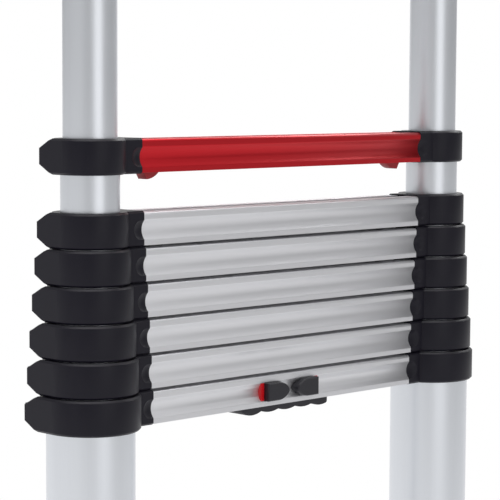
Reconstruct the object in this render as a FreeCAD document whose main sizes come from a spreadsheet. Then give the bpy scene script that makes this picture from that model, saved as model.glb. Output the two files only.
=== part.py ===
import FreeCAD, Part
import math
import os
import re
import Sketcher

# A telescoping ladder: ten sections whose round stile tubes slide into each other. Each section is a pair of
# tubes, a pair of moulded collars on their upper ends and a rung between the collars. The rungs carry sprung
# latches whose pins lock the next tubes. Millimetres, +X along the rungs, +Y away from the climber, +Z up,
# and the origin on the floor midway between the stiles.

SECTIONS = 10      # tube pairs, and rungs
RAISED = 7         # the section that is part way up; those below it are closed and those above it extended

SIZES = [
    # The whole ladder
    ("stile_spacing", 490, "between the axes of the two stiles"),
    ("rung_spacing", 290, "tread to tread of two extended sections"),
    ("closed_pitch", 34, "tread to tread of two closed sections"),
    ("raised_lift", 33.9, "how far the raised section stands above its closed place"),
    ("running_gap", 0.35, "round gap between a sliding tube and what guides it"),
    ("press_gap", 0.1, "gap of a part pressed on or into a tube"),
    ("foot_room", 23.8, "left between the closed second tube and the sole of the foot"),
    # Stile tubes
    ("tube_diameter", 83.6, "outside, of the first section"),
    ("diameter_step", 4.7, "from one section to the next"),
    ("tube_wall", 1.5, "wall of every tube"),
    ("tube_length", 365, "of the sliding tubes"),
    ("bush_height", 8, "of the guide bush under a sliding tube"),
    ("bush_ledge", 1, "how far the guide bush reaches inwards past the tube's wall"),
    # Rungs
    ("rung_depth", 44, "front to back"),
    ("rung_height", 31.1, "tread to underside"),
    ("rung_wall", 1.8, "wall of the rung extrusion"),
    ("channel_radius", 12.5, "of the long hollow in the front and the back"),
    ("channel_depth", 4, "of that hollow"),
    ("channel_drop", 16.5, "tread to the middle of the hollow, and to the lock pins"),
    ("lip_round", 2.5, "radius between the hollow and the flats above and below it"),
    ("tread_round", 2.8, "radius of the tread's front and back edges"),
    ("groove_width", 14, "of the groove along the middle of the tread"),
    ("groove_depth", 5.4, "of that groove"),
    ("rib_start", 9.5, "middle of the ladder to the first fine groove of the tread"),
    ("rib_pitch", 4, "between the fine grooves"),
    ("rib_width", 1.6, "of a fine groove"),
    ("rib_depth", 0.6, "of a fine groove"),
    # Collars
    ("collar_gap", 0.7, "between closed collars"),
    ("collar_drop", 0.8, "underside of the rung to the bottom of its collar"),
    ("collar_wall", 5.4, "plastic round the tube"),
    ("collar_lip", 1.6, "plastic over the tube's end"),
    ("collar_edge", 2, "bevel of the collar's upper and lower edges"),
    ("ear_length", 17.5, "tube's surface to the visible end of the ear"),
    ("rear_reach", 47.2, "stile's axis to the back face of the first collar"),
    ("rear_step", 0.98, "less reach from one collar to the next"),
    ("rear_corner", 7.7, "of the upright corners at the back"),
    ("wedge_run", 17.2, "length of the slopes above and below the back"),
    ("wedge_fall", 9.2, "height of those slopes"),
    ("dimple_reach", 13, "how far the rung's hollow runs on into the ear"),
    ("spigot_length", 25, "of the collar's tongue in the rung"),
    ("spigot_gap", 0.3, "round that tongue"),
    # Latches
    ("latch_travel", 4.6, "of a lock pin"),
    ("pin_radius", 4, "of a lock pin"),
    ("pin_clearance", 0.3, "round a lock pin in the tube and the collar"),
    ("pin_gap", 0.3, "end of a locked pin to the tube that it faces"),
    ("pin_weld", 12, "length of the first lock pins beside their pull bars"),
    ("slide_start", 2, "end of the ear to the latch slide"),
    ("slide_length", 34, "of the latch slide"),
    ("slide_width", 14, "of the latch slide"),
    ("slide_height", 12, "of the latch slide"),
    ("slide_gap", 0.3, "round the latch slide"),
    ("slide_end_gap", 0.6, "at the ends of its travel"),
    ("fin_start", 15.7, "end of the ear to the trigger fin"),
    ("fin_length", 20, "of the trigger fin"),
    ("fin_width", 12.4, "of the trigger fin"),
    ("fin_depth", 7.2, "of the trigger fin below the rung"),
    ("fin_lean", 4.1, "slant of its outer face"),
    ("fin_curve", 22, "radius of its inner face"),
    ("fin_gap", 0.4, "beside the fin in its slot"),
    # Release buttons on rung 1
    ("button_nose", 6, "middle of the ladder to the tip of a button"),
    ("button_length", 30.5, "tip to flat end"),
    ("button_height", 18.1, "of the button's flat end"),
    ("button_stand", 7, "how far a button stands out of the rung"),
    ("button_gap", 0.6, "between a button's back and the hollow"),
    ("button_edge", 1, "bevel round the button's face"),
    ("nose_length", 15, "length of the pointed part"),
    ("nose_curve", 20, "radius of the nose's flanks"),
    ("tip_back", 1.6, "length of the rounded tip"),
    ("tip_half", 3.4, "half the height where the tip's rounding begins"),
    ("tip_curve", 4.4, "radius of the tip"),
    ("neck_width", 8, "of the neck that joins a button to its pull bar"),
    ("neck_gap", 0.5, "round the neck in its slot"),
    ("bar_height", 10, "of the pull bar"),
    ("bar_thickness", 3, "of the pull bar"),
    ("bar_past", 7, "pull bar beyond the middle of the neck"),
    ("button_lift", 0.3, "rung's face to a button's back where it passes over the red strip"),
    ("strip_sink", 0.1, "rung's face to the red strip that a released button uncovers"),
    ("strip_gap", 0.05, "between that strip and the hollow that it fills"),
    # Finger grip under rung 1
    ("grip_pitch", 24.5, "of its rolls"),
    ("grip_end", 25.3, "length of the roll at either end"),
    ("grip_width", 37, "front to back"),
    ("grip_corner", 4, "radius of its upright corners"),
    ("grip_notch", 5, "rung to the notch between two rolls"),
    ("grip_rim", 2.5, "thickness at either end"),
    ("snout_length", 5, "length of the rounding at either end"),
    ("snout_depth", 7, "rung to the inner end of that rounding"),
    ("snout_radius", 6, "of that rounding"),
    ("roll_radius", 38.5, "of the middle rolls"),
    ("roll_end_radius", 30, "of the end rolls"),
    # Feet and caps
    ("foot_sole", 8, "rubber under the tube"),
    ("foot_height", 62, "of the foot"),
    ("foot_wall", 3.6, "of the foot round the tube"),
    ("foot_flare", 1.4, "how far the sole spreads beyond that wall"),
    ("foot_band", 14, "height of the spread part"),
    ("foot_edge", 2.5, "bevel of the sole"),
    ("sole_groove", 3, "width of the grooves in the sole"),
    ("sole_pitch", 12, "between those grooves"),
    ("sole_cut", 1.5, "depth of those grooves"),
    ("cap_plug", 8, "length of the top cap in the last collar"),
    ("cap_rim", 5.45, "how far the top cap reaches past its plug"),
    ("cap_thickness", 2.5, "of the top cap's rim"),
    ("cap_crown", 2, "bevel round its top"),
    # Worked out from the sizes above, so that the second tube always has its room in the first
    ("first_rung_level", "=tube_length + bush_height + foot_sole + foot_room - closed_pitch"
     " - (closed_pitch - rung_height - collar_drop - collar_gap - collar_lip)", "floor to the tread of rung 1"),
]

doc = FreeCAD.newDocument("TelescopingLadder")
sheet = doc.addObject("Spreadsheet::Sheet", "Sizes")


def fill_sheet():
    """Writes each size on a row of its own, with its meaning beside it."""
    for row, (name, value, meaning) in enumerate(SIZES, start=1):
        sheet.set(f"A{row}", name)
        sheet.set(f"B{row}", str(value))
        sheet.set(f"C{row}", meaning)
        sheet.setAlias(f"B{row}", name)
    doc.recompute()


# ---------------------------------------------------------------- expressions

def bound(expression):
    """The expression with each size's name pointing at the sheet."""
    return re.sub(r"[a-z]+(?:_[a-z]+)+", lambda name: "Sizes." + name.group(), str(expression))


def number(expression):
    """What the expression is worth now."""
    return float(sheet.evalExpression(str(expression)))


def tube_radius(n):
    return f"((tube_diameter - {n - 1} * diameter_step) / 2)"


def ring_radius(n):
    return f"({tube_radius(n)} + collar_wall)"


def ear_end(n):
    """Stile's axis to the visible end of the rung."""
    return f"({tube_radius(n)} + ear_length)"


def rear_face(n):
    return f"(rear_reach - {n - 1} * rear_step)"


def tread_level(n):
    """Height of rung n at rest."""
    level = f"first_rung_level + {n - 1} * closed_pitch"
    if n >= RAISED:
        level = f"first_rung_level + {RAISED - 1} * closed_pitch + raised_lift + {n - RAISED} * rung_spacing"
    return level


def half_chord(radius, sagitta):
    """Half the width of a hollow of this radius and depth."""
    return f"sqrt(({radius})^2 - ({radius} - ({sagitta}))^2)"


# Heights measured from the tread of a section's own rung
COLLAR_BASE = "(-rung_height - collar_drop)"
COLLAR_HEAD = f"({COLLAR_BASE} + closed_pitch - collar_gap)"
TUBE_HEAD = f"({COLLAR_HEAD} - collar_lip)"
CHANNEL_AXIS = "(rung_depth / 2 - channel_depth + channel_radius)"     # distance of the hollow's axis from Y = 0
HALF_DEPTH = "(rung_depth / 2)"
PAST = 1                                                               # how far a cut runs past a face
NEAR = 1e-3                                                            # for telling whether a point is on a face


# ------------------------------------------------------------ drawing helpers

def new_sketch(body, plane_role, name, x=0, y=0, out=0):
    """A sketch on one of the body's own planes, moved by x and y in that plane and `out` along its normal."""
    plane = next(item for item in body.Origin.OriginFeatures if item.Role == plane_role)
    sketch = body.newObject("Sketcher::SketchObject", name)
    sketch.AttachmentSupport = (plane, "")
    sketch.MapMode = "FlatFace"
    for axis, amount in (("x", x), ("y", y), ("z", out)):
        if amount != 0:
            sketch.setExpression(f"AttachmentOffset.Base.{axis}", bound(amount))
    return sketch


def drive(sketch, kind, references, expression):
    """A dimension of the sketch that follows the sheet."""
    index = sketch.addConstraint(Sketcher.Constraint(kind, *references, number(expression)))
    sketch.setExpression(f"Constraints[{index}]", bound(expression))


def arc_between(start, end, radius, side):
    """The shorter arc from start to end with its centre on the left or the right of the way."""
    chord = end - start
    normal = FreeCAD.Vector(-chord.y, chord.x, 0).normalize()
    if side == "right":
        normal = normal * -1
    rise = math.sqrt(max(radius ** 2 - (chord.Length / 2) ** 2, 0))
    centre = (start + end) * 0.5 + normal * rise
    angles = [math.atan2(point.y - centre.y, point.x - centre.x) for point in (start, end)]
    if side == "right":
        angles.reverse()
    return Part.ArcOfCircle(Part.Circle(centre, FreeCAD.Vector(0, 0, 1), radius), *angles)


def draw(sketch, corners, arcs=None):
    """A closed outline through the corners, each a pair of expressions. `arcs` gives, for the number of the
    corner that an arc starts from, the side that its centre lies on and its radius."""
    arcs = arcs or {}
    points = [FreeCAD.Vector(number(x), number(y), 0) for x, y in corners]
    edges = []
    for i, start in enumerate(points):
        end = points[(i + 1) % len(points)]
        if i in arcs:
            side, radius = arcs[i]
            edge = sketch.addGeometry(arc_between(start, end, number(radius), side), False)
            ends = (2, 1) if side == "right" else (1, 2)
            drive(sketch, "Radius", (edge,), radius)
        else:
            edge = sketch.addGeometry(Part.LineSegment(start, end), False)
            ends = (1, 2)
        edges.append((edge, *ends))
    for i, (edge, first, last) in enumerate(edges):
        follower, follower_first, _ = edges[(i + 1) % len(edges)]
        sketch.addConstraint(Sketcher.Constraint("Coincident", edge, last, follower, follower_first))
        drive(sketch, "DistanceX", (-1, 1, edge, first), corners[i][0])
        drive(sketch, "DistanceY", (-1, 1, edge, first), corners[i][1])


def draw_box(sketch, left, right, low, high):
    draw(sketch, [(left, low), (right, low), (right, high), (left, high)])


def draw_circle(sketch, radius, x=0, y=0):
    centre = FreeCAD.Vector(number(x), number(y), 0)
    circle = sketch.addGeometry(Part.Circle(centre, FreeCAD.Vector(0, 0, 1), number(radius)), False)
    drive(sketch, "Radius", (circle,), radius)
    drive(sketch, "DistanceX", (-1, 1, circle, 3), x)
    drive(sketch, "DistanceY", (-1, 1, circle, 3), y)


def pad(body, sketch, length, symmetric=False, reverse=False):
    feature = body.newObject("PartDesign::Pad", "Pad")
    return extrude(feature, sketch, length, symmetric, reverse)


def pocket(body, sketch, length, symmetric=False, reverse=False):
    feature = body.newObject("PartDesign::Pocket", "Pocket")
    return extrude(feature, sketch, length, symmetric, reverse)


def extrude(feature, sketch, length, symmetric, reverse):
    feature.Profile = sketch
    feature.SideType = "Symmetric" if symmetric else "One side"
    feature.Reversed = reverse
    feature.setExpression("Length", bound(length))
    sketch.Visibility = False
    return feature


def turn(body, kind, sketch, axis):
    """A revolved shape (Revolution) or cut (Groove) about one of the sketch's own axes."""
    feature = body.newObject(f"PartDesign::{kind}", kind)
    feature.Profile = sketch
    feature.ReferenceAxis = (sketch, [axis])
    feature.Angle = 360
    return feature


def bevel(body, feature, size, wanted):
    """Bevels the edges of a feature whose ends and middle all pass the test `wanted`."""
    doc.recompute()
    names = []
    for i, edge in enumerate(feature.Shape.Edges, start=1):
        middle = edge.valueAt((edge.FirstParameter + edge.LastParameter) / 2)
        if all(wanted(point) for point in [vertex.Point for vertex in edge.Vertexes] + [middle]):
            names.append(f"Edge{i}")
    chamfer = body.newObject("PartDesign::Chamfer", "Chamfer")
    chamfer.Base = (feature, names)
    chamfer.setExpression("Size", bound(size))
    return chamfer


def new_body(label, n=None, x=None):
    """An empty body. With n it is measured from the tread of rung n, and with x from that place along X."""
    body = doc.addObject("PartDesign::Body", "Body")
    body.Label = label
    if n is not None:
        body.setExpression("Placement.Base.z", bound(tread_level(n)))
    if x is not None:
        body.setExpression("Placement.Base.x", bound(x))
    return body


def mirrored(source, label):
    """The same piece on the other stile."""
    twin = doc.addObject("Part::Mirroring", "Mirroring")
    twin.Label = label
    twin.Source = source
    twin.Normal = FreeCAD.Vector(1, 0, 0)
    return twin


def group(label, pieces):
    """Separate solids that make one sub-part."""
    compound = doc.addObject("Part::Compound", "Compound")
    compound.Label = label
    compound.Links = pieces
    return compound


def pair(label, left):
    """A left piece, or several, with the same on the right."""
    left = left if isinstance(left, list) else [left]
    right = [mirrored(piece, piece.Label.replace("left", "right")) for piece in left]
    return group(label, left + right)


# ------------------------------------------------------------------ the pieces

def stile_tube(n):
    """One round tube with the holes that the lock pins go through."""
    body = new_body(f"left tube {n}", n, "-stile_spacing / 2")
    top = TUBE_HEAD
    length = "tube_length"
    if n == 1:
        length = f"first_rung_level + {TUBE_HEAD} - foot_sole"
    ring = new_sketch(body, "XY_Plane", "TubeSection", out=top)
    draw_circle(ring, tube_radius(n))
    draw_circle(ring, f"{tube_radius(n)} - tube_wall")
    pad(body, ring, length, reverse=True)
    levels = []
    if n < SECTIONS:
        levels.append("-channel_drop")                      # its own rung's pin goes through here
    if n > 1:
        levels.append("-channel_drop - rung_spacing")       # the pin of the rung below locks here
    for level in levels:
        hole = new_sketch(body, "YZ_Plane", "PinHole")
        draw_circle(hole, "pin_radius + pin_clearance", y=level)
        pocket(body, hole, tube_radius(n) + " + 1", reverse=True)
    return body


def guide_bush(n):
    """The plastic bush on the lower end of a sliding tube, which runs in the tube outside it."""
    body = new_body(f"left bush {n}", n, "-stile_spacing / 2")
    section = new_sketch(body, "XY_Plane", "BushSection", out=f"{TUBE_HEAD} - tube_length")
    draw_circle(section, f"{tube_radius(n - 1)} - tube_wall - running_gap")
    draw_circle(section, f"{tube_radius(n)} - tube_wall - bush_ledge")
    pad(body, section, "bush_height", reverse=True)
    return body


def rung(n):
    """The hollow extrusion between the collars, with a long hollow in its front and back, and a grooved tread."""
    body = new_body(f"rung_{n:02d}", n)
    half_length = f"(stile_spacing / 2 - {ear_end(n)})"
    profile = new_sketch(body, "YZ_Plane", "RungSection")
    outline(profile, HALF_DEPTH, "0", "-rung_height", "channel_radius", "groove_width / 2", "groove_depth",
            outside=True)
    inside = f"({HALF_DEPTH} - rung_wall)"
    outline(profile, inside, "-rung_wall", "-rung_height + rung_wall", "channel_radius + rung_wall",
            "groove_width / 2 + rung_wall", "groove_depth + rung_wall")
    pad(body, profile, f"2 * {half_length}", symmetric=True)
    if 1 < n < SECTIONS:
        floor = new_sketch(body, "XY_Plane", "FinSlots", out="-rung_height")
        start = f"{half_length} - fin_start + slide_end_gap"
        finish = f"{half_length} - fin_start - fin_length - latch_travel - slide_end_gap"
        side = "fin_width / 2 + fin_gap"
        for way in ("", "-1 * "):
            draw_box(floor, f"{way}({start})", f"{way}({finish})", f"-({side})", side)
        pocket(body, floor, f"rung_wall + {PAST}", reverse=True)
    if n == 1:
        front = new_sketch(body, "XZ_Plane", "NeckSlots")
        near = "button_nose + button_length / 2 - neck_width / 2 - neck_gap"
        far = "button_nose + button_length / 2 + neck_width / 2 + latch_travel + neck_gap"
        reach = "neck_width / 2 + neck_gap"
        for way in ("", "-1 * "):
            draw_box(front, f"{way}({near})", f"{way}({far})",
                     f"-channel_drop - ({reach})", f"-channel_drop + {reach}")
        pocket(body, front, HALF_DEPTH, reverse=True)
    return body


def outline(sketch, side, top, bottom, hollow, groove_half, groove_floor, outside=False):
    """The rung's section: `side` is half its depth, and the hollows curve about the same axis inside and out.
    Outside, its edges are rounded and the tread has fine grooves."""
    if outside:
        blend = f"({hollow} + lip_round)"
        away = f"({CHANNEL_AXIS} - {side} + lip_round)"
        edge = f"sqrt({blend}^2 - {away}^2)"
        meet = f"{edge} * {hollow} / {blend}"                     # where the blend runs into the hollow
        inset = f"({side} - lip_round + {away} * lip_round / {blend})"
        flank = [(side, bottom), (side, f"-channel_drop - {edge}"), (inset, f"-channel_drop - {meet}"),
                 (inset, f"-channel_drop + {meet}"), (side, f"-channel_drop + {edge}"),
                 (side, f"{top} - tread_round"), (f"{side} - tread_round", top)]
        bends = [None, ("left", "lip_round"), ("right", hollow), ("left", "lip_round"), None,
                 ("left", "tread_round")]
    else:
        edge = half_chord(hollow, f"{side} - {CHANNEL_AXIS} + {hollow}")
        flank = [(side, bottom), (side, f"-channel_drop - {edge}"), (side, f"-channel_drop + {edge}"), (side, top)]
        bends = [None, ("right", hollow), None]
    right = list(flank)
    for i in (1, 0) if outside else ():
        middle = f"rib_start + {i} * rib_pitch"
        right += [(f"{middle} + rib_width / 2", top), (f"{middle} + rib_width / 2", "-rib_depth"),
                  (f"{middle} - rib_width / 2", "-rib_depth"), (f"{middle} - rib_width / 2", top)]
    right += [(groove_half, top), (groove_half, f"-({groove_floor})")]
    corners = right + [(f"-({y})", z) for y, z in reversed(right)]
    first_left = len(corners) - len(flank)
    arcs = {i: bend for i, bend in enumerate(bends) if bend}
    arcs.update({first_left + i: bend for i, bend in enumerate(reversed(bends)) if bend})
    draw(sketch, corners, arcs)


def collar(n):
    """The moulded collar on the tube's upper end: a ring round the tube, a bevelled block behind it, an ear
    that carries the rung, and a tongue inside the rung with the passage of the latch."""
    body = new_body(f"left collar {n}", n, "-stile_spacing / 2")
    ring, ear, rear = ring_radius(n), ear_end(n), rear_face(n)
    height = "closed_pitch - collar_gap"
    plan = new_sketch(body, "XY_Plane", "CollarPlan", out=COLLAR_BASE)
    draw(plan, [(0, f"-min({HALF_DEPTH}, {ring})"), (0, 0), (f"-{ring}", 0),
                (f"-{ring}", f"{rear} - rear_corner"), (f"-{ring} + rear_corner", rear),
                (f"{ring} - rear_corner", rear), (ring, f"{rear} - rear_corner"),
                (ring, HALF_DEPTH), (ear, HALF_DEPTH), (ear, f"-{HALF_DEPTH}")])
    pad(body, plan, height)
    wedges = new_sketch(body, "YZ_Plane", "RearSlopes")
    start, stop, away = f"{rear} - rear_corner - wedge_run", f"{rear} - rear_corner", f"{rear} + {PAST}"
    for level, way in ((COLLAR_HEAD, "-"), (COLLAR_BASE, "+")):
        corners = [(start, level), (stop, f"{level} {way} wedge_fall"), (away, f"{level} {way} wedge_fall"),
                   (away, level)]
        draw(wedges, corners if way == "-" else corners[::-1])
    pocket(body, wedges, f"4 * {ring}", symmetric=True)
    disc = new_sketch(body, "XY_Plane", "RingPlan", out=COLLAR_BASE)
    draw_circle(disc, ring)
    last = pad(body, disc, height)
    levels, flank = (number(COLLAR_BASE), number(COLLAR_HEAD)), -number(ring)
    bevel(body, last, "collar_edge", lambda point: min(abs(point.z - level) for level in levels) < NEAR
          and (point.y < NEAR or point.x < flank + NEAR))
    dimples(body, n)
    tongue(body, n)
    bore = new_sketch(body, "XY_Plane", "TubeBore", out=COLLAR_BASE)
    draw_circle(bore, f"{tube_radius(n)} + press_gap")
    pocket(body, bore, f"{height} - collar_lip", reverse=True)
    mouth = new_sketch(body, "XY_Plane", "Mouth", out=COLLAR_HEAD)
    draw_circle(mouth, f"{tube_radius(n + 1)} + running_gap")
    pocket(body, mouth, f"collar_lip + {PAST}")
    if n < SECTIONS:
        passages(body, n)
    return body


def dimples(body, n):
    """The rung's hollows run on into the ear, and end round."""
    ear = ear_end(n)
    edge = half_chord("channel_radius", "channel_depth")
    middle = f"{ear} - dimple_reach + {edge}"
    for side in ("", "-"):
        arc = new_sketch(body, "XY_Plane", "Dimple", y=f"{side}{CHANNEL_AXIS}", out="-channel_drop")
        corners = [(f"{middle} - channel_radius", 0), (f"{ear} + {PAST}", 0),
                   (f"{ear} + {PAST}", f"{side}channel_radius"), (middle, f"{side}channel_radius")]
        draw(arc, corners, {3: ("right" if side == "-" else "left", "channel_radius")})
        turn(body, "Groove", arc, "H_Axis")


def tongue(body, n):
    """The spigot that the rung is pressed over."""
    side = f"{HALF_DEPTH} - channel_depth - rung_wall - spigot_gap"
    section = new_sketch(body, "YZ_Plane", "TongueSection", out=ear_end(n))
    draw_box(section, f"-({side})", side, "-rung_height + rung_wall + spigot_gap",
             "-groove_depth - rung_wall - spigot_gap")
    pad(body, section, "spigot_length")


def passages(body, n):
    """The room for the latch slide and its fin in the tongue, and the hole for the pin through the ear."""
    far = f"{ear_end(n)} + spigot_length"
    room = new_sketch(body, "YZ_Plane", "SlideRoom", out=far)
    side = "slide_width / 2 + slide_gap"
    rise = "slide_height / 2 + slide_gap"
    draw_box(room, f"-({side})", side, f"-channel_drop - ({rise})", f"-channel_drop + {rise}")
    pocket(body, room, "spigot_length - slide_start + slide_end_gap")
    if n > 1:
        slot = new_sketch(body, "YZ_Plane", "FinRoom", out=far)
        side = "fin_width / 2 + fin_gap"
        draw_box(slot, f"-({side})", side, f"-rung_height - {PAST}", "-channel_drop")
        pocket(body, slot, "spigot_length - fin_start + slide_end_gap")
    hole = new_sketch(body, "YZ_Plane", "PinPassage", out=f"{ear_end(n)} + slide_start")
    draw_circle(hole, "pin_radius + pin_clearance", y="-channel_drop")
    pocket(body, hole, f"{ear_end(n)} + slide_start")


def latch(n):
    """The sprung slide in the rung's left end, with its trigger fin under the rung, and its steel pin."""
    rest = "-stile_spacing / 2"
    if n < RAISED:
        rest += " + latch_travel"                 # a closed rung's latch is held in by the rung below
    body = new_body(f"left slide {n}", n, rest)
    ear = ear_end(n)
    block = new_sketch(body, "XZ_Plane", "SlideBlock")
    base = "-channel_drop - slide_height / 2"
    draw_box(block, f"{ear} + slide_start", f"{ear} + slide_start + slide_length",
             base, "-channel_drop + slide_height / 2")
    pad(body, block, "slide_width", symmetric=True)
    fin = new_sketch(body, "XZ_Plane", "Fin")
    root = f"{ear} + fin_start"
    draw(fin, [(root, f"{base} + {PAST}"), (root, "-rung_height"),
               (f"{root} + fin_lean", "-rung_height - fin_depth"),
               (f"{root} + fin_length", "-rung_height"), (f"{root} + fin_length", f"{base} + {PAST}")],
         {2: ("left", "fin_curve")})
    pad(body, fin, "fin_width", symmetric=True)
    tip = f"{tube_radius(n + 1)} + pin_gap"
    pin = doc.addObject("Part::Cylinder", "Pin")
    pin.Label = f"left pin {n}"
    pin.Placement = FreeCAD.Placement(FreeCAD.Vector(), FreeCAD.Rotation(FreeCAD.Vector(0, 1, 0), 90))
    pin.setExpression("Radius", bound("pin_radius"))
    pin.setExpression("Height", bound(f"{ear} + slide_start - ({tip})"))
    pin.setExpression("Placement.Base.x", bound(f"{rest} + {tip}"))
    pin.setExpression("Placement.Base.z", bound(f"{tread_level(n)} - channel_drop"))
    return group(f"latch_left_{n:02d}", [body, pin])


def release_button():
    """The thumb slider in the front of rung 1, pointed towards the middle, with the neck to its pull bar."""
    body = new_body("release_button_left", 1)
    tip, flat = "-button_nose", "-button_nose - button_length"
    shoulder, rounding = f"{tip} - nose_length", f"{tip} - tip_back"
    up, down = "-channel_drop + button_height / 2", "-channel_drop - button_height / 2"
    face = new_sketch(body, "XZ_Plane", "ButtonFace", out="rung_depth / 2 + button_stand")
    draw(face, [(flat, down), (shoulder, down), (rounding, "-channel_drop - tip_half"),
                (rounding, "-channel_drop + tip_half"), (shoulder, up), (flat, up)],
         {1: ("left", "nose_curve"), 2: ("left", "tip_curve"), 3: ("left", "nose_curve")})
    last = pad(body, face, "button_stand + channel_depth", reverse=True)
    front = -number("rung_depth / 2 + button_stand")
    bevel(body, last, "button_edge", lambda point: abs(point.y - front) < NEAR)
    back = new_sketch(body, "XY_Plane", "RoundBack", y=f"-{CHANNEL_AXIS}", out="-channel_drop")
    draw_box(back, f"{flat} - {PAST}", f"{tip} + {PAST}", "channel_radius - button_gap", "2 * channel_radius")
    turn(body, "Groove", back, "H_Axis")
    over = new_sketch(body, "XZ_Plane", "OverStrip", out="rung_depth / 2 + button_lift")
    draw_box(over, f"{flat} - {PAST}", f"{flat} + latch_travel + slide_end_gap",
             "-channel_drop - channel_radius", "-channel_drop + channel_radius")
    pocket(body, over, "channel_radius")
    neck = new_sketch(body, "XZ_Plane", "Neck", out="bar_thickness / 2")
    middle = "-button_nose - button_length / 2"
    draw_box(neck, f"{middle} - neck_width / 2", f"{middle} + neck_width / 2",
             "-channel_drop - neck_width / 2", "-channel_drop + neck_width / 2")
    pad(body, neck, "rung_depth / 2 - bar_thickness / 2")
    return body


def pull_bar():
    """The bar inside rung 1 that a button draws inwards, with the lock pin of the second tube on its end."""
    body = new_body("pull_bar_left", 1)
    tip = f"(-stile_spacing / 2 + {tube_radius(2)} + pin_gap + latch_travel)"
    shank = "(ear_length + slide_start + pin_weld + diameter_step / 2)"
    rod = new_sketch(body, "YZ_Plane", "Pin", out=tip)
    draw_circle(rod, "pin_radius", y="-channel_drop")
    pad(body, rod, shank)
    bar = new_sketch(body, "XZ_Plane", "Bar")
    draw_box(bar, f"{tip} + {shank} - pin_weld", "-button_nose - button_length / 2 + bar_past",
             "-channel_drop - bar_height / 2", "-channel_drop + bar_height / 2")
    pad(body, bar, "bar_thickness", symmetric=True)
    return body


def indicator_strip():
    """The red strip across the hollow that shows when the buttons are released."""
    body = new_body("left strip", 1)
    section = new_sketch(body, "YZ_Plane", "StripSection", x=f"-{CHANNEL_AXIS}", y="-channel_drop",
                         out="-button_nose - button_length - latch_travel")
    front, round_back = "(channel_radius - channel_depth + strip_sink)", "(channel_radius - strip_gap)"
    half = f"sqrt({round_back}^2 - {front}^2)"
    draw(section, [(front, f"-{half}"), (front, half)], {0: ("left", round_back)})
    pad(body, section, "latch_travel")
    return body


def finger_grip():
    """The rolled grip under rung 1."""
    body = new_body("finger_grip", 1)
    half = "(1.5 * grip_pitch + grip_end)"
    side = "(grip_width / 2)"
    plan = new_sketch(body, "XY_Plane", "GripPlan", out="-rung_height")
    draw(plan, [(f"-{half} + grip_corner", f"-{side}"), (f"{half} - grip_corner", f"-{side}"),
                (half, f"-{side} + grip_corner"), (half, f"{side} - grip_corner"),
                (f"{half} - grip_corner", side), (f"-{half} + grip_corner", side),
                (f"-{half}", f"{side} - grip_corner"), (f"-{half}", f"-{side} + grip_corner")],
         {1: ("left", "grip_corner"), 3: ("left", "grip_corner"),
          5: ("left", "grip_corner"), 7: ("left", "grip_corner")})
    deepest = "2 * grip_notch"
    pad(body, plan, deepest, reverse=True)
    rolls = new_sketch(body, "XZ_Plane", "Rolls", y="-rung_height")
    notches = [f"{step} * grip_pitch" for step in (-1.5, -0.5, 0.5, 1.5)]
    corners = [(f"-{half}", "-grip_rim"), (f"-{half} + snout_length", "-snout_depth")]
    corners += [(x, "-grip_notch") for x in notches]
    corners += [(f"{half} - snout_length", "-snout_depth"), (half, "-grip_rim")]
    corners += [(half, f"-{deepest} - {PAST}"), (f"-{half}", f"-{deepest} - {PAST}")]
    radii = ["snout_radius", "roll_end_radius"] + 3 * ["roll_radius"] + ["roll_end_radius", "snout_radius"]
    draw(rolls, corners, {i: ("left", radius) for i, radius in enumerate(radii)})
    pocket(body, rolls, "2 * grip_width", symmetric=True)
    return body


def foot():
    """The rubber shoe on the first tube, with a grooved sole."""
    body = new_body("left foot", x="-stile_spacing / 2")
    bore = f"({tube_radius(1)} + press_gap)"
    wall = f"({bore} + foot_wall)"
    section = new_sketch(body, "XZ_Plane", "FootSection")
    draw(section, [(0, 0), (f"{wall} + foot_flare - foot_edge", 0), (f"{wall} + foot_flare", "foot_edge"),
                   (f"{wall} + foot_flare", "foot_band"), (wall, "foot_band + foot_flare"),
                   (wall, "foot_height"), (bore, "foot_height"), (bore, "foot_sole"), (0, "foot_sole")])
    turn(body, "Revolution", section, "V_Axis")
    grooves = new_sketch(body, "XY_Plane", "SoleGrooves")
    for step in (-2.5, -1.5, -0.5, 0.5, 1.5, 2.5):
        middle = f"{step} * sole_pitch"
        draw_box(grooves, f"-2 * {wall}", f"2 * {wall}", f"{middle} - sole_groove / 2",
                 f"{middle} + sole_groove / 2")
    pocket(body, grooves, "sole_cut", reverse=True)
    return body


def top_cap():
    """The plug that closes the last collar."""
    body = new_body("left cap", SECTIONS, "-stile_spacing / 2")
    section = new_sketch(body, "XZ_Plane", "CapSection", y=COLLAR_HEAD)
    plug = f"{tube_radius(SECTIONS + 1)} + running_gap - press_gap"
    rim = f"({plug} + cap_rim)"
    draw(section, [(0, "-cap_plug"), (plug, "-cap_plug"), (plug, 0), (rim, 0), (rim, "cap_thickness"),
                   (f"{rim} - cap_crown", "cap_thickness + cap_crown"), (0, "cap_thickness + cap_crown")])
    turn(body, "Revolution", section, "V_Axis")
    return body


def build():
    """Makes every sub-part, and returns them in the order of their files."""
    parts = []
    for n in range(1, SECTIONS + 1):
        tubes = [stile_tube(n)] + ([guide_bush(n)] if n > 1 else [])
        parts.append(pair(f"stile_tubes_{n:02d}", tubes))
        parts.append(pair(f"collars_{n:02d}", collar(n)))
        parts.append(rung(n))
    for n in range(2, SECTIONS):
        left = latch(n)
        parts += [left, mirrored(left, f"latch_right_{n:02d}")]
    for left in (release_button(), pull_bar()):
        parts += [left, mirrored(left, left.Label.replace("left", "right"))]
    parts += [pair("indicator_strips", indicator_strip()), finger_grip()]
    parts += [pair("feet", foot()), pair("top_caps", top_cap())]
    return parts


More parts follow.
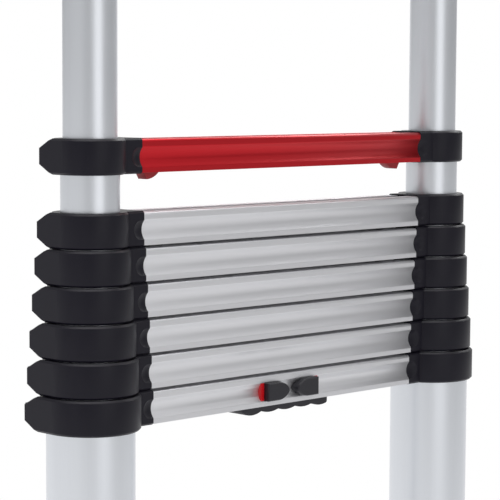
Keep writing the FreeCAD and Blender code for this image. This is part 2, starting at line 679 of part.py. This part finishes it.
def check(parts):
    """Stops at a feature that failed, a cut that removed nothing, or a sub-part without a sound shape."""
    for item in doc.Objects:
        if "Invalid" in item.State or "Error" in item.State:
            raise RuntimeError(f"{item.Name} ({item.Label}) failed: {item.State}")
        if item.TypeId in ("PartDesign::Pocket", "PartDesign::Groove"):
            if item.Shape.Volume >= item.BaseFeature.Shape.Volume - 1e-3:
                raise RuntimeError(f"{item.Name} removed nothing")
    for part in parts:
        if part.Shape.isNull() or not part.Shape.isValid() or not part.Shape.Solids:
            raise RuntimeError(f"{part.Label} has no sound shape")


def main():
    fill_sheet()
    parts = build()
    doc.recompute()
    check(parts)
    os.makedirs("parts", exist_ok=True)
    for part in parts:
        part.Shape.exportStep(f"parts/{part.Label}.step")
    print(len(parts), "sub-parts,", sum(len(part.Shape.Solids) for part in parts), "solids")


main()
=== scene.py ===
import math

import bmesh
import bpy
from mathutils import Matrix, Vector


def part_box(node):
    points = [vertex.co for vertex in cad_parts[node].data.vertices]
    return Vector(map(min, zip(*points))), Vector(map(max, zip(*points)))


bl_info = {
    "name": "Telescoping ladder finish",
    "version": (1, 0, 0),
    "blender": (4, 5, 0),
    "location": "3D View > Sidebar > Ladder",
    "description": "Rounds the edges of a telescoping ladder, finishes its pieces and lights it in a studio",
    "category": "Object",
}

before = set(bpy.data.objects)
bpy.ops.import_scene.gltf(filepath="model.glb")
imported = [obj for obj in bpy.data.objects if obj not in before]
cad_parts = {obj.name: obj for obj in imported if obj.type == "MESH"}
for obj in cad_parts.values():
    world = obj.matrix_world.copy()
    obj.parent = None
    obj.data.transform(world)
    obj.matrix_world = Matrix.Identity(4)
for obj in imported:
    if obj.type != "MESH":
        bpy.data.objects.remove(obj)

SECTIONS = 10
RED_SECTION = 7
SIDES = ("left", "right")
NUMBERS = range(1, SECTIONS + 1)
LATCHED = range(2, SECTIONS)       # the sections with latch slides in their rungs
TUBES = [f"stile_tubes_{n:02d}" for n in NUMBERS]
COLLARS = [f"collars_{n:02d}" for n in NUMBERS]
RUNGS = [f"rung_{n:02d}" for n in NUMBERS]
LATCHES = [f"latch_{side}_{n:02d}" for side in SIDES for n in LATCHED]
BUTTONS = [f"release_button_{side}" for side in SIDES]
PULL_BARS = [f"pull_bar_{side}" for side in SIDES]

SLIDE_REACH = 0.0341               # from a latch slide's inner end to just past its outer one
SAME_PLACE = 1e-6                  # corners nearer than this are one corner
FLAT = math.radians(0.4)           # faces that meet at less than this are one flat face

# The studio, in metres. Its headings are in degrees from +Y towards +X.
WALL_RADIUS = 20.0
WALL_FOOT = 0.0
WALL_TOP = 28.0
WALL_ENDS = (15, 75, 112, 172, 245, 375)
HIGH_WALL_RADIUS = 19.5            # just inside the other walls
HIGH_WALL_FOOT = 4.0
HIGH_WALL_ENDS = (60, 178)
CEILING_RADIUS = 12.0
CEILING_LEVEL = 26.0
FLOOR_LEVEL = -0.0004              # a hair under the feet
SHADE_RADIUS = 0.55                # out to here the floor keeps its own shade
WHITE_RADIUS = 1.0                 # and from here on it is white
MIRRORED_FRONT = 0.72              # brightness of the floor in front, as the metal mirrors it
DIMS_RIGHTWARDS = 0.22             # share of that dimming gained per metre to the right
DIMS_FORWARDS = 0.62               # and per metre to the front
LAMPS_AIM = (0, 0, 0.8)            # about the middle of the ladder


# ------------------------------------------------------------------ shader maths

class Value:
    """A shader socket that takes part in Python expressions."""

    def __init__(self, finish, socket):
        self.finish = finish
        self.socket = socket

    def math(self, operation, *terms):
        return self.finish.node("ShaderNodeMath", {"operation": operation}, dict(enumerate(terms)))

    def __add__(self, other):
        return self.math("ADD", self, other)

    __radd__ = __add__

    def __sub__(self, other):
        return self.math("SUBTRACT", self, other)

    def __rsub__(self, other):
        return self.math("SUBTRACT", other, self)

    def __mul__(self, other):
        return self.math("MULTIPLY", self, other)

    __rmul__ = __mul__

    def __gt__(self, other):
        return self.math("GREATER_THAN", self, other)

    def absolute(self):
        return self.math("ABSOLUTE", self)

    def at_least(self, other):
        return self.math("MAXIMUM", self, other)

    def clamped(self):
        return self.finish.node("ShaderNodeClamp", inputs={"Value": self})

    def swing(self, width):
        """A pattern that goes from 0 to 1, as a swing of that width about zero."""
        return (self - 0.5) * width


def opaque(colour):
    return (*colour[:3], 1)


class Finish:
    """A node tree under construction, of a material or of the world."""

    # the sockets of a Mix node that mixes colours, by number because several share a name
    MIX_FACTOR = 0
    MIX_FIRST = 6
    MIX_SECOND = 7
    MIX_RESULT = 2

    def __init__(self, owner):
        owner.use_nodes = True
        self.owner = owner
        self.tree = owner.node_tree
        self.tree.nodes.clear()

    def node(self, kind, settings=None, inputs=None, output=0):
        """Adds a node: its settings first, then the values or links of its sockets."""
        made = self.tree.nodes.new(kind)
        for name, setting in (settings or {}).items():
            setattr(made, name, setting)
        for key, given in (inputs or {}).items():
            socket = made.inputs[key]
            if isinstance(given, Value):
                self.tree.links.new(given.socket, socket)
            else:
                socket.default_value = given
        return Value(self, made.outputs[output]) if made.outputs else made

    def place(self):
        """Where a point of the surface is, in metres, in the ladder's own frame."""
        return self.node("ShaderNodeTexCoord", output="Object")

    def axis(self, name):
        return self.node("ShaderNodeSeparateXYZ", inputs={0: self.place()}, output=name)

    def noise(self, scale, stretch=(1, 1, 1), detail=2.0):
        """Soft noise with about `scale` spots to the metre, each axis multiplied by `stretch`."""
        stretched = self.node("ShaderNodeVectorMath", {"operation": "MULTIPLY"},
                              {0: self.place(), 1: stretch})
        return self.node("ShaderNodeTexNoise",
                         inputs={"Vector": stretched, "Scale": scale, "Detail": detail})

    def mix_colours(self, factor, first, second):
        return self.node("ShaderNodeMix", {"data_type": "RGBA", "clamp_factor": True},
                         {self.MIX_FACTOR: factor, self.MIX_FIRST: first, self.MIX_SECOND: second},
                         output=self.MIX_RESULT)

    def tinted(self, colour, amount, pattern):
        """The colour, darker or lighter by `amount` as the pattern goes from 0 to 1."""
        darker, lighter = [opaque([min(part * (1 + way * amount), 1) for part in colour])
                           for way in (-1, 1)]
        return self.mix_colours(pattern, darker, lighter)

    def bumped(self, pattern, depth):
        """The surface's direction, with the pattern standing `depth` metres high on it."""
        return self.node("ShaderNodeBump", inputs={"Strength": 1.0, "Distance": depth, "Height": pattern})

    def glow(self, strength):
        return self.node("ShaderNodeEmission", inputs={"Color": (1, 1, 1, 1), "Strength": strength})

    def blend(self, factor, first, second):
        return self.node("ShaderNodeMixShader", inputs={0: factor, 1: first, 2: second})

    def finish_with(self, shader):
        self.node("ShaderNodeOutputMaterial", inputs={"Surface": shader})
        return self.owner


def new_finish(name):
    return Finish(bpy.data.materials.new(name))


# ------------------------------------------------------------------ the finishes

def drawn_aluminium(name, colour, roughness, along, metal=1.0, coat=0.0):
    """Satin anodised aluminium with the fine lines that the die leaves along the extrusion. A thick
    anodised layer scatters some of the light, which takes `metal` below 1."""
    finish = new_finish(name)
    slow = 0.012
    stretch = tuple(slow if axis == along else 1 for axis in "XYZ")
    lines = finish.noise(scale=900, stretch=stretch, detail=3)
    bands = finish.noise(scale=160, stretch=stretch)
    clouds = finish.noise(scale=14, detail=3)
    return finish.finish_with(finish.node("ShaderNodeBsdfPrincipled", inputs={
        "Base Color": finish.tinted(colour, amount=0.04, pattern=lines * 0.5 + bands * 0.3 + clouds * 0.2),
        "Metallic": metal,
        "Roughness": lines.swing(0.05) + clouds.swing(0.05) + roughness,
        "Coat Weight": coat, "Coat Roughness": 0.25,
        "Normal": finish.bumped(lines, depth=0.000004)}))


def moulded_plastic(name, colour, roughness, grain=0.00001, shine=0.5):
    """Matt moulded plastic with the spark-eroded grain of its tool."""
    finish = new_finish(name)
    fine = finish.noise(scale=2600, detail=3)
    clouds = finish.noise(scale=30, detail=3)
    return finish.finish_with(finish.node("ShaderNodeBsdfPrincipled", inputs={
        "Base Color": finish.tinted(colour, amount=0.12, pattern=fine * 0.6 + clouds * 0.4),
        "Roughness": fine.swing(0.12) + clouds.swing(0.08) + roughness,
        "Specular IOR Level": shine,
        "Normal": finish.bumped(fine, depth=grain)}))


def latch_finish(name, plastic, steel, slide_end):
    """The slide's plastic, and zinc plated steel beyond the slide's outer end, where the pin is."""
    plastic_roughness = 0.5
    steel_roughness = 0.3
    finish = new_finish(name)
    fine = finish.noise(scale=2200, detail=3)
    lines = finish.noise(scale=1500, stretch=(0.05, 1, 1))
    pin = finish.axis("X").absolute() > slide_end
    return finish.finish_with(finish.node("ShaderNodeBsdfPrincipled", inputs={
        "Base Color": finish.mix_colours(pin, finish.tinted(plastic, amount=0.08, pattern=fine),
                                         finish.tinted(steel, amount=0.06, pattern=lines)),
        "Metallic": pin,
        "Roughness": pin * (steel_roughness - plastic_roughness) + fine.swing(0.1) + plastic_roughness,
        "Normal": finish.bumped(fine, depth=0.000008)}))


def studio_floor(name, colour, shade_radius, white_radius):
    """Pale floor under the ladder that runs out into the white of the background. The metal mirrors it as
    white paper that dims to the front and the right."""
    finish = new_finish(name)
    distance = finish.node("ShaderNodeVectorMath", {"operation": "LENGTH"}, {0: finish.place()},
                           output="Value")
    far = finish.node("ShaderNodeMapRange", {"interpolation_type": "SMOOTHSTEP"},
                      {"Value": distance, "From Min": shade_radius, "From Max": white_radius})
    seen = finish.node("ShaderNodeLightPath", output="Is Camera Ray")
    mirrored = finish.node("ShaderNodeLightPath", output="Is Glossy Ray")
    paper = finish.node("ShaderNodeBsdfDiffuse", inputs={"Color": opaque(colour)})
    white = finish.glow(1.0)
    ahead = (finish.axis("X") * DIMS_RIGHTWARDS - finish.axis("Y") * DIMS_FORWARDS).clamped()
    shown = finish.blend(far * seen, paper, white)
    reflected = finish.blend(ahead, white, finish.glow(MIRRORED_FRONT))
    return finish.finish_with(finish.blend(mirrored, shown, reflected))


def glowing_card(name, brightness):
    """An even light of its own, which the metal mirrors."""
    finish = new_finish(name)
    return finish.finish_with(finish.glow(brightness))


# ------------------------------------------------------------------ dressing

def cover(names, material):
    """Gives the finish to CAD nodes."""
    for name in names:
        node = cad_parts[name]
        if not node.material_slots:
            node.data.materials.append(material)
        for slot in node.material_slots:
            slot.material = material


def round_edges(names, width, angle, segments=3):
    """Rounds the sharp edges of CAD nodes, after flat faces that were cut into triangles are whole again."""
    for name in names:
        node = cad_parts[name]
        weld = node.modifiers.new("Weld", "WELD")
        weld.merge_threshold = SAME_PLACE
        flats = node.modifiers.new("Flats", "DECIMATE")
        flats.decimate_type = "DISSOLVE"
        flats.angle_limit = FLAT
        bevel = node.modifiers.new("Edges", "BEVEL")
        bevel.width = width
        bevel.segments = segments
        bevel.limit_method = "ANGLE"
        bevel.angle_limit = angle
        bevel.harden_normals = True
        bevel.miter_outer = "MITER_ARC"


def settings():
    return bpy.context.scene.ladder_finish


class LadderFinish(bpy.types.PropertyGroup):
    """Colours and edges of the ladder's pieces."""
    stile_colour: bpy.props.FloatVectorProperty(
        name="Stiles", description="Colour of the anodised tubes", subtype="COLOR", size=3,
        default=(0.736, 0.758, 0.797), min=0, max=1)
    rung_colour: bpy.props.FloatVectorProperty(
        name="Rungs", description="Colour of the anodised rungs", subtype="COLOR", size=3,
        default=(0.717, 0.718, 0.742), min=0, max=1)
    red_colour: bpy.props.FloatVectorProperty(
        name="Red rung", description="Colour of the red anodised rung", subtype="COLOR", size=3,
        default=(0.55, 0.009, 0.017), min=0, max=1)
    charcoal: bpy.props.FloatVectorProperty(
        name="Collars", description="Colour of the moulded collars, buttons and caps", subtype="COLOR",
        size=3, default=(0.0076, 0.0066, 0.0132), min=0, max=1)
    latch_grey: bpy.props.FloatVectorProperty(
        name="Latches", description="Colour of the latch slides", subtype="COLOR", size=3,
        default=(0.30, 0.30, 0.31), min=0, max=1)
    latch_red: bpy.props.FloatVectorProperty(
        name="Red latches", description="Colour of the red rung's latch slides", subtype="COLOR",
        size=3, default=(0.34, 0.012, 0.018), min=0, max=1)
    strip_red: bpy.props.FloatVectorProperty(
        name="Strips", description="Colour of the red strips beside the buttons", subtype="COLOR",
        size=3, default=(0.62, 0.004, 0.010), min=0, max=1)
    steel_colour: bpy.props.FloatVectorProperty(
        name="Steel", description="Colour of the lock pins and pull bars", subtype="COLOR", size=3,
        default=(0.56, 0.56, 0.55), min=0, max=1)
    rubber_colour: bpy.props.FloatVectorProperty(
        name="Feet", description="Colour of the rubber feet", subtype="COLOR", size=3,
        default=(0.02, 0.02, 0.021), min=0, max=1)
    stile_roughness: bpy.props.FloatProperty(
        name="Stile sheen", description="Roughness of the tubes", default=0.38, min=0, max=1,
        subtype="FACTOR")
    rung_roughness: bpy.props.FloatProperty(
        name="Rung sheen", description="Roughness of the rungs", default=0.44, min=0, max=1,
        subtype="FACTOR")
    red_roughness: bpy.props.FloatProperty(
        name="Red rung sheen", description="Roughness of the red rung", default=0.36, min=0, max=1,
        subtype="FACTOR")
    rung_metal: bpy.props.FloatProperty(
        name="Rung metal", description="How far the rungs are bare metal rather than a layer that scatters",
        default=0.85, min=0, max=1, subtype="FACTOR")
    collar_edge: bpy.props.FloatProperty(
        name="Collar edge", description="Rounding of the collars' edges", default=0.0012, min=0,
        unit="LENGTH")
    rung_edge: bpy.props.FloatProperty(
        name="Rung edge", description="Rounding of the rungs' edges", default=0.0003, min=0,
        unit="LENGTH")
    button_edge: bpy.props.FloatProperty(
        name="Button edge", description="Rounding of the edges of buttons, grip, latches, feet and caps",
        default=0.0004, min=0, unit="LENGTH")
    sharpest: bpy.props.FloatProperty(
        name="Edge angle", description="Edges that turn more than this are rounded",
        default=math.radians(28), min=0, subtype="ANGLE", unit="ROTATION")


class LadderStudio(bpy.types.PropertyGroup):
    """Camera, floor, walls, ceiling and lamps."""
    camera_place: bpy.props.FloatVectorProperty(
        name="Camera", description="Where the camera stands", subtype="TRANSLATION", unit="LENGTH",
        size=3, default=(-1.428, -1.383, 0.660))
    heading: bpy.props.FloatProperty(
        name="Heading", description="Camera's turn from +Y towards +X", subtype="ANGLE", unit="ROTATION",
        default=math.radians(43.547))
    pitch: bpy.props.FloatProperty(
        name="Pitch", description="Camera's tilt below the horizon", subtype="ANGLE", unit="ROTATION",
        default=math.radians(5.249))
    roll: bpy.props.FloatProperty(
        name="Roll", description="Camera's turn about its line of sight", subtype="ANGLE", unit="ROTATION",
        default=math.radians(0.134))
    lens: bpy.props.FloatProperty(
        name="Lens", description="Focal length in millimetres", default=141.95, min=1, unit="CAMERA")
    shift: bpy.props.FloatVectorProperty(
        name="Shift", description="Sideways and upward shift of the frame, as shares of its width", size=2,
        default=(0.1132, 0.0305))
    floor_colour: bpy.props.FloatVectorProperty(
        name="Floor", description="Colour of the floor", subtype="COLOR", size=3,
        default=(0.86, 0.86, 0.86), min=0, max=1)
    walls: bpy.props.FloatVectorProperty(
        name="Walls", description="Brightness of the walls that the metal reflects: behind, on the right, "
        "front right, front and left", size=5, default=(0.95, 0.38, 0.28, 0.35, 0.46), min=0)
    high_wall: bpy.props.FloatProperty(
        name="High wall", description="Brightness of the upper wall on the right and in front",
        default=0.60, min=0)
    ceiling: bpy.props.FloatProperty(
        name="Ceiling", description="Brightness of the panel overhead, which the rungs' edges reflect",
        default=5.0, min=0)
    ambient: bpy.props.FloatProperty(
        name="Ambient light", description="Strength of the light from all round", default=0.62,
        min=0)
    front_power: bpy.props.FloatProperty(
        name="Front lamp", description="Power of the tall lamp in front", default=11.0, min=0,
        unit="POWER")
    side_power: bpy.props.FloatProperty(
        name="Side lamp", description="Power of the large lamp on the left", default=14.0, min=0,
        unit="POWER")
    back_power: bpy.props.FloatProperty(
        name="Back lamp", description="Power of the high lamp on the right", default=46.0, min=0,
        unit="POWER")


class LADDER_OT_finish_tubes(bpy.types.Operator):
    """Give the stile tubes their anodised finish"""
    bl_idname = "ladder.finish_tubes"
    bl_label = "Stile tubes"

    def execute(self, context):
        look = settings()
        cover(TUBES, drawn_aluminium("stile_aluminium", look.stile_colour, look.stile_roughness,
                                     along="Z"))
        return {"FINISHED"}


class LADDER_OT_finish_rungs(bpy.types.Operator):
    """Round the rungs' edges and give them their anodised finishes"""
    bl_idname = "ladder.finish_rungs"
    bl_label = "Rungs"

    def execute(self, context):
        look = settings()
        round_edges(RUNGS, look.rung_edge, look.sharpest, segments=2)
        cover(RUNGS, drawn_aluminium("rung_aluminium", look.rung_colour, look.rung_roughness,
                                     along="X", metal=look.rung_metal))
        red_rung = RUNGS[NUMBERS.index(RED_SECTION)]
        cover([red_rung], drawn_aluminium("red_rung", look.red_colour, look.red_roughness,
                                          along="X", metal=look.rung_metal, coat=0.15))
        return {"FINISHED"}


class LADDER_OT_finish_collars(bpy.types.Operator):
    """Round the collars' edges and give them their moulded grain"""
    bl_idname = "ladder.finish_collars"
    bl_label = "Collars"

    def execute(self, context):
        look = settings()
        round_edges(COLLARS, look.collar_edge, look.sharpest)
        cover(COLLARS, moulded_plastic("collar_plastic", look.charcoal, roughness=0.42, shine=0.22))
        return {"FINISHED"}


class LADDER_OT_finish_latches(bpy.types.Operator):
    """Finish the latch slides and their lock pins"""
    bl_idname = "ladder.finish_latches"
    bl_label = "Latches"

    def execute(self, context):
        look = settings()
        round_edges(LATCHES, look.button_edge, look.sharpest, segments=2)
        for n in LATCHED:
            names = [f"latch_{side}_{n:02d}" for side in SIDES]
            plastic = look.latch_red if n == RED_SECTION else look.latch_grey
            inner_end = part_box(names[0])[1].x
            slide_end = SLIDE_REACH - inner_end
            cover(names, latch_finish(f"latch_{n:02d}", plastic, look.steel_colour, slide_end))
        return {"FINISHED"}


class LADDER_OT_finish_controls(bpy.types.Operator):
    """Finish the release buttons, their pull bars, the red strips and the finger grip"""
    bl_idname = "ladder.finish_controls"
    bl_label = "Buttons and grip"

    def execute(self, context):
        look = settings()
        round_edges(BUTTONS + ["finger_grip"], look.button_edge, look.sharpest)
        cover(BUTTONS + ["finger_grip"], moulded_plastic("button_plastic", look.charcoal, roughness=0.48))
        cover(PULL_BARS, drawn_aluminium("pin_steel", look.steel_colour, roughness=0.32, along="X"))
        cover(["indicator_strips"],
              moulded_plastic("indicator_red", look.strip_red, roughness=0.35, grain=0.000003))
        return {"FINISHED"}


class LADDER_OT_finish_ends(bpy.types.Operator):
    """Finish the rubber feet and the top caps"""
    bl_idname = "ladder.finish_ends"
    bl_label = "Feet and caps"

    def execute(self, context):
        look = settings()
        round_edges(["feet", "top_caps"], look.button_edge, look.sharpest)
        cover(["feet"], moulded_plastic("foot_rubber", look.rubber_colour, roughness=0.68, grain=0.00002))
        cover(["top_caps"], moulded_plastic("cap_plastic", look.charcoal, roughness=0.5))
        return {"FINISHED"}


# ------------------------------------------------------------------ the studio

def stand(name, shape):
    """Puts a bmesh into the scene as an object."""
    mesh = bpy.data.meshes.new(name)
    shape.to_mesh(mesh)
    shape.free()
    made = bpy.data.objects.new(name, mesh)
    bpy.context.collection.objects.link(made)
    return made


def disc(name, radius, segments=96):
    shape = bmesh.new()
    bmesh.ops.create_circle(shape, cap_ends=True, radius=radius, segments=segments)
    return stand(name, shape)


def wall(name, radius, low, high, start, stop, steps=16):
    """A curved wall round the ladder, between two headings."""
    shape = bmesh.new()
    headings = [math.radians(start + (stop - start) * i / steps) for i in range(steps + 1)]
    foot, top = [[shape.verts.new((radius * math.sin(a), radius * math.cos(a), level)) for a in headings]
                 for level in (low, high)]
    for i in range(steps):
        shape.faces.new((foot[i], foot[i + 1], top[i + 1], top[i]))
    return stand(name, shape)


def glow_in_reflections(thing, brightness):
    """Makes the thing glow, and lets only reflections show it."""
    thing.data.materials.append(glowing_card(thing.name, brightness))
    thing.visible_camera = False
    thing.visible_diffuse = False
    thing.visible_transmission = False
    thing.visible_shadow = False


def lamp(name, place, size, power):
    """A soft lamp of that width and height, turned to the ladder."""
    light = bpy.data.lights.new(name, "AREA")
    light.shape = "RECTANGLE"
    light.size, light.size_y = size
    light.energy = power
    made = bpy.data.objects.new(name, light)
    made.location = place
    made.rotation_euler = (Vector(LAMPS_AIM) - Vector(place)).to_track_quat("-Z", "Y").to_euler()
    bpy.context.collection.objects.link(made)
    return made


def white_world(ambient):
    """White for the camera and for what the metal mirrors, and `ambient` for the light that it sheds."""
    world = bpy.data.worlds.new("studio")
    bpy.context.scene.world = world
    sky = Finish(world)
    seen = [sky.node("ShaderNodeLightPath", output=ray)
            for ray in ("Is Camera Ray", "Is Glossy Ray", "Is Transmission Ray")]
    soft = sky.node("ShaderNodeBackground", inputs={"Color": (1, 1, 1, 1), "Strength": ambient})
    white = sky.node("ShaderNodeBackground", inputs={"Color": (1, 1, 1, 1), "Strength": 1.0})
    any_seen = seen[0].at_least(seen[1]).at_least(seen[2])
    sky.node("ShaderNodeOutputWorld", inputs={"Surface": sky.blend(any_seen, soft, white)})


class LADDER_OT_set_stage(bpy.types.Operator):
    """Set up the floor, the walls that the metal reflects, the lamps and the camera"""
    bl_idname = "ladder.set_stage"
    bl_label = "Studio"

    def execute(self, context):
        studio = context.scene.ladder_studio
        floor = disc("floor", WALL_RADIUS)
        floor.location.z = FLOOR_LEVEL
        floor.data.materials.append(
            studio_floor("floor_paper", studio.floor_colour, SHADE_RADIUS, WHITE_RADIUS))
        cards = [(WALL_RADIUS, WALL_FOOT, start, stop, brightness)
                 for start, stop, brightness in zip(WALL_ENDS, WALL_ENDS[1:], studio.walls)]
        cards.append((HIGH_WALL_RADIUS, HIGH_WALL_FOOT, *HIGH_WALL_ENDS, studio.high_wall))
        for i, (radius, foot, start, stop, brightness) in enumerate(cards):
            card = wall(f"wall_{i}", radius, foot, WALL_TOP, start, stop)
            glow_in_reflections(card, brightness)
        ceiling = disc("ceiling", CEILING_RADIUS)
        ceiling.location.z = CEILING_LEVEL
        glow_in_reflections(ceiling, studio.ceiling)
        white_world(studio.ambient)
        lamp("front_lamp", place=(-0.5, -2.7, 1.0), size=(1.7, 2.4), power=studio.front_power)
        side = lamp("side_lamp", place=(-3.0, 0.6, 1.3), size=(1.8, 2.2), power=studio.side_power)
        side.visible_glossy = False
        lamp("back_lamp", place=(2.74, 0.73, 2.7), size=(2.2, 1.2), power=studio.back_power)
        self.place_camera(context, studio)
        context.scene.view_settings.view_transform = "Standard"
        return {"FINISHED"}

    @staticmethod
    def place_camera(context, studio):
        """Aims the camera by its heading, pitch and roll, from looking straight down with +Y up."""
        camera = bpy.data.objects.new("camera", bpy.data.cameras.new("camera"))
        turn = (Matrix.Rotation(-studio.heading, 4, "Z")
                @ Matrix.Rotation(math.pi / 2 - studio.pitch, 4, "X")
                @ Matrix.Rotation(studio.roll, 4, "Z"))
        camera.matrix_world = Matrix.Translation(studio.camera_place) @ turn
        camera.data.lens = studio.lens
        camera.data.shift_x, camera.data.shift_y = studio.shift
        camera.data.clip_start = 0.05
        camera.data.clip_end = 50
        context.collection.objects.link(camera)
        context.scene.camera = camera


STEPS = (LADDER_OT_finish_tubes, LADDER_OT_finish_rungs, LADDER_OT_finish_collars,
         LADDER_OT_finish_latches, LADDER_OT_finish_controls, LADDER_OT_finish_ends, LADDER_OT_set_stage)


class LADDER_PT_panel(bpy.types.Panel):
    """The ladder's finishes and its studio"""
    bl_label = "Telescoping ladder"
    bl_space_type = "VIEW_3D"
    bl_region_type = "UI"
    bl_category = "Ladder"

    def draw(self, context):
        for group in (context.scene.ladder_finish, context.scene.ladder_studio):
            for name in group.__annotations__:
                self.layout.prop(group, name)
        for step in STEPS:
            self.layout.operator(step.bl_idname)


CLASSES = (LadderFinish, LadderStudio, *STEPS, LADDER_PT_panel)


def register():
    for made in CLASSES:
        bpy.utils.register_class(made)
    bpy.types.Scene.ladder_finish = bpy.props.PointerProperty(type=LadderFinish)
    bpy.types.Scene.ladder_studio = bpy.props.PointerProperty(type=LadderStudio)


def unregister():
    del bpy.types.Scene.ladder_studio
    del bpy.types.Scene.ladder_finish
    for made in reversed(CLASSES):
        bpy.utils.unregister_class(made)


def main():
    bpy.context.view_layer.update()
    register()
    bpy.ops.ladder.finish_tubes()
    bpy.ops.ladder.finish_rungs()
    bpy.ops.ladder.finish_collars()
    bpy.ops.ladder.finish_latches()
    bpy.ops.ladder.finish_controls()
    bpy.ops.ladder.finish_ends()
    bpy.ops.ladder.set_stage()


if __name__ == "__main__":
    main()
